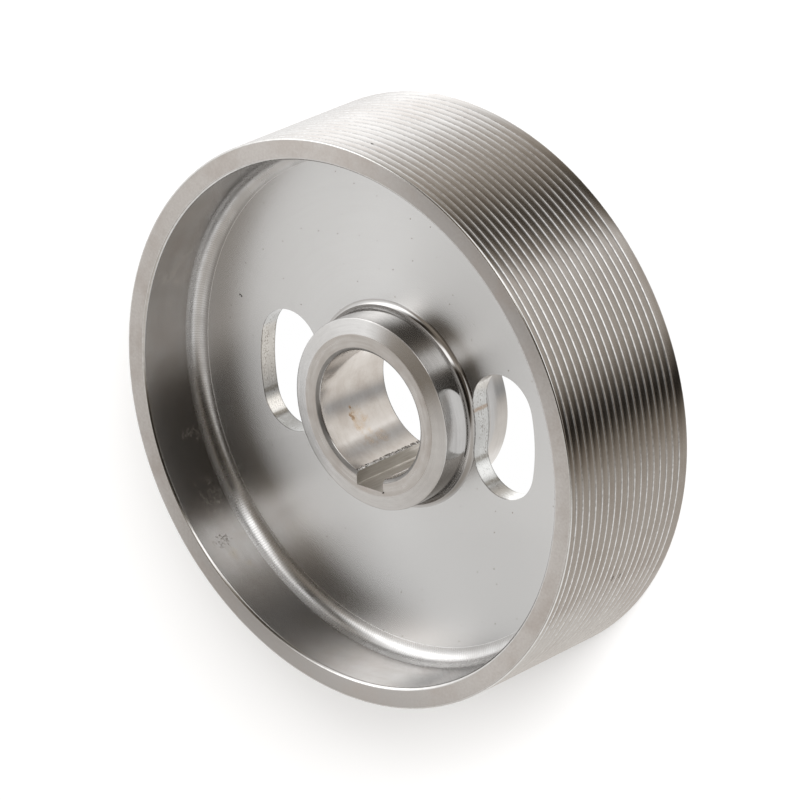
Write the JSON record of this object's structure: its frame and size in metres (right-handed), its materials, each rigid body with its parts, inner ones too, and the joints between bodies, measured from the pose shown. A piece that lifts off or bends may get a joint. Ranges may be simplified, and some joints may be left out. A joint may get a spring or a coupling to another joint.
{
  "type": "pulley",
  "caption": "Flat belt pulley turned from steel: a wide rim with fine grooves, a recessed web with arc slots, and a short hub with a keyed bore.",
  "frame": {"origin": "on the bore axis, at the back face of the rim, on which the pulley stands", "axes": "+Z along the bore axis towards the front face, +Y towards the keyway, slots on +X and -X"},
  "size_m": [0.168, 0.168, 0.05],
  "materials": {
    "pulley": "turned bare steel, satin"
  },
  "bodies": {
    "root": {"pulley": "pulley"}
  },
  "joints": []
}
